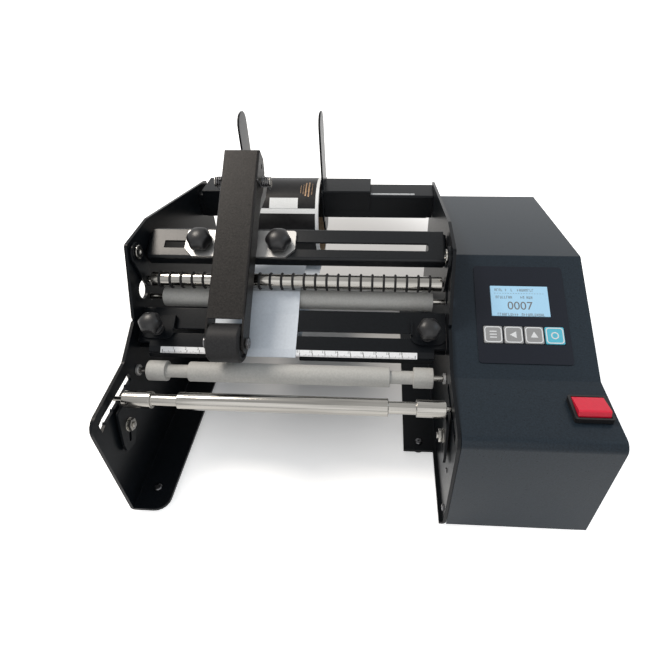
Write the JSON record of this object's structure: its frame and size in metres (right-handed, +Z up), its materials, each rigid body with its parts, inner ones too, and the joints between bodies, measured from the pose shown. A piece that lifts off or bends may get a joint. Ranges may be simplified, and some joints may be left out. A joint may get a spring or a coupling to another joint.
{
  "type": "label applicator",
  "caption": "Desk-top label applicator: side plates carrying rollers, a peel plate, a slotted rail with a sprung pressing arm and a label roll, with a side drive housing and display.",
  "frame": {"origin": "middle of the machine's footprint, on the desk under its feet", "axes": "+X to the operator's right, towards the drive housing; +Y to the rear, towards the label roll; +Z up"},
  "size_m": [0.356, 0.335, 0.226],
  "materials": {
    "black_paint": "fine powder coat",
    "satin_black": "satin, fine sparkle",
    "black_plastic": "satin",
    "polished_steel": "polished",
    "zinc": "zinc plated",
    "gray_rubber": "matte",
    "black_rubber": "matte",
    "display_window": "glossy, lit",
    "overlay_film": "fine matte",
    "gray_key": "satin",
    "blue_key": "satin",
    "red_plastic": "glossy",
    "liner_paper": "glazed paper",
    "label_stock": "satin paper",
    "card_core": "card",
    "circuit_board": "satin"
  },
  "bodies": {
    "frame": {"left_side_plate": "black_paint", "right_side_plate": "black_paint", "housing_cover": "black_paint", "housing_base": "black_paint", "slotted_rail": "black_paint", "peel_plate": "black_paint", "roll_bar": "black_paint", "left_link_plate": "black_paint", "right_link_plate": "black_paint", "left_drive_bearing": "zinc", "right_drive_bearing": "zinc", "left_front_foot": "black_rubber", "left_rear_foot": "black_rubber", "middle_front_foot": "black_rubber", "right_front_foot": "black_rubber", "right_rear_foot": "black_rubber", "display_overlay": "overlay_film", "display_window": "display_window", "switch_bezel": "black_plastic", "power_inlet": "black_plastic", "drive_motor": "polished_steel", "controller_board": "circuit_board", "power_supply": "zinc", "liner_web": "liner_paper", "left_lever_screw": "polished_steel", "right_lever_screw": "polished_steel", "drive_belt": "black_rubber"},
    "nip": {"nip_roller": "gray_rubber", "nip_pulley": "black_plastic"},
    "drive": {"drive_shaft": "polished_steel", "drive_roller": "gray_rubber", "drive_pulley": "black_plastic"},
    "motor_rotor": {"motor_pulley": "black_plastic"},
    "pressure_levers": {"left_pressure_lever": "black_paint", "right_pressure_lever": "black_paint"},
    "pressure_roller": {"pressure_roller": "black_rubber"},
    "idler_pin": {"idler_shaft": "polished_steel"},
    "idler_roller": {"idler_roller": "polished_steel"},
    "arm_carriage": {"arm_bracket": "zinc", "hinge_shaft": "polished_steel", "left_torsion_spring": "polished_steel", "right_torsion_spring": "polished_steel"},
    "left_rail_knob": {"left_rail_knob": "black_plastic"},
    "right_rail_knob": {"right_rail_knob": "black_plastic"},
    "pressing_arm": {"pressing_arm": "satin_black", "wheel_axle": "polished_steel"},
    "press_wheel": {"press_wheel": "black_rubber"},
    "left_web_guide": {"left_web_guide": "black_paint"},
    "right_web_guide": {"right_web_guide": "black_paint"},
    "left_guide_knob": {"left_guide_knob": "black_plastic"},
    "right_guide_knob": {"right_guide_knob": "black_plastic"},
    "left_roll_guide": {"left_roll_guide": "black_paint"},
    "right_roll_guide": {"right_roll_guide": "black_paint"},
    "label_roll": {"label_roll": "label_stock", "roll_core": "card_core"},
    "key_1": {"key_1": "gray_key"},
    "key_2": {"key_2": "gray_key"},
    "key_3": {"key_3": "gray_key"},
    "key_4": {"key_4": "blue_key"},
    "rocker_switch": {"rocker_switch": "red_plastic"}
  },
  "joints": [
    {"name": "nip_spin", "type": "hinge", "parent": "frame", "child": "nip", "pos_m": [-0.053, -0.04, 0.1248], "axis": [1, 0, 0], "continuous": true},
    {"name": "drive_spin", "type": "hinge", "parent": "frame", "child": "drive", "pos_m": [-0.053, -0.096, 0.0923], "axis": [1, 0, 0], "continuous": true},
    {"name": "motor_spin", "type": "hinge", "parent": "frame", "child": "motor_rotor", "pos_m": [0.087, -0.0555, 0.052], "axis": [1, 0, 0], "continuous": true},
    {"name": "pressure_lift", "type": "hinge", "parent": "frame", "child": "pressure_levers", "pos_m": [-0.053, -0.0425, 0.169], "axis": [1, 0, 0], "range_deg": [0, 13]},
    {"name": "pressure_spin", "type": "hinge", "parent": "pressure_levers", "child": "pressure_roller", "pos_m": [-0.053, -0.04, 0.1421], "axis": [1, 0, 0], "continuous": true},
    {"name": "idler_shift", "type": "slide", "parent": "frame", "child": "idler_pin", "axis": [0, 1, 0], "range_m": [-0.02, 0.017]},
    {"name": "idler_spin", "type": "hinge", "parent": "idler_pin", "child": "idler_roller", "pos_m": [-0.053, -0.1315, 0.0969], "axis": [1, 0, 0], "continuous": true},
    {"name": "arm_shift", "type": "slide", "parent": "frame", "child": "arm_carriage", "axis": [1, 0, 0], "range_m": [-0.028, 0.116]},
    {"name": "left_rail_knob_turn", "type": "hinge", "parent": "arm_carriage", "child": "left_rail_knob", "pos_m": [-0.129, -0.02488, 0.17175], "axis": [0, -0.4226, 0.9063], "range_deg": [0, 360]},
    {"name": "right_rail_knob_turn", "type": "hinge", "parent": "arm_carriage", "child": "right_rail_knob", "pos_m": [-0.065, -0.02488, 0.17175], "axis": [0, -0.4226, 0.9063], "range_deg": [0, 360]},
    {"name": "arm_lift", "type": "hinge", "parent": "arm_carriage", "child": "pressing_arm", "pos_m": [-0.097, 0.01417, 0.20256], "axis": [-1, 0, 0], "range_deg": [0, 60], "stiffness_Nm_per_rad": 0.35, "springref_deg": -45.84},
    {"name": "press_wheel_spin", "type": "hinge", "parent": "pressing_arm", "child": "press_wheel", "pos_m": [-0.097, -0.09548, 0.12303], "axis": [1, 0, 0], "continuous": true},
    {"name": "left_web_guide_shift", "type": "slide", "parent": "frame", "child": "left_web_guide", "axis": [1, 0, 0], "range_m": [0, 0.0285]},
    {"name": "right_web_guide_shift", "type": "slide", "parent": "frame", "child": "right_web_guide", "axis": [1, 0, 0], "range_m": [-0.0875, 0]},
    {"name": "left_guide_knob_turn", "type": "hinge", "parent": "left_web_guide", "child": "left_guide_knob", "pos_m": [-0.1605, -0.07497, 0.11897], "axis": [0, -0.4993, 0.8664], "range_deg": [0, 360]},
    {"name": "right_guide_knob_turn", "type": "hinge", "parent": "right_web_guide", "child": "right_guide_knob", "pos_m": [0.0545, -0.07497, 0.11897], "axis": [0, -0.4993, 0.8664], "range_deg": [0, 360]},
    {"name": "left_roll_guide_shift", "type": "slide", "parent": "frame", "child": "left_roll_guide", "axis": [1, 0, 0], "range_m": [-0.002, 0.0025]},
    {"name": "right_roll_guide_shift", "type": "slide", "parent": "frame", "child": "right_roll_guide", "axis": [1, 0, 0], "range_m": [-0.002, 0.06]},
    {"name": "label_roll_spin", "type": "hinge", "parent": "frame", "child": "label_roll", "pos_m": [-0.0825, 0.124, 0.11463], "axis": [1, 0, 0], "continuous": true},
    {"name": "key_1_press", "type": "slide", "parent": "frame", "child": "key_1", "axis": [0, 0.4509, -0.8926], "range_m": [0, 0.0005], "stiffness_N_per_m": 400},
    {"name": "key_2_press", "type": "slide", "parent": "frame", "child": "key_2", "axis": [0, 0.4509, -0.8926], "range_m": [0, 0.0005], "stiffness_N_per_m": 400},
    {"name": "key_3_press", "type": "slide", "parent": "frame", "child": "key_3", "axis": [0, 0.4509, -0.8926], "range_m": [0, 0.0005], "stiffness_N_per_m": 400},
    {"name": "key_4_press", "type": "slide", "parent": "frame", "child": "key_4", "axis": [0, 0.4509, -0.8926], "range_m": [0, 0.0005], "stiffness_N_per_m": 400},
    {"name": "rocker_throw", "type": "hinge", "parent": "frame", "child": "rocker_switch", "pos_m": [0.161, -0.137, 0.106], "axis": [1, 0, 0], "range_deg": [0, 23.2]}
  ],
  "couplings": [
    {"joint": "drive_spin", "follows": "nip_spin", "ratio": 1},
    {"joint": "motor_spin", "follows": "nip_spin", "ratio": 1},
    {"joint": "pressure_spin", "follows": "nip_spin", "ratio": -1.3099}
  ]
}
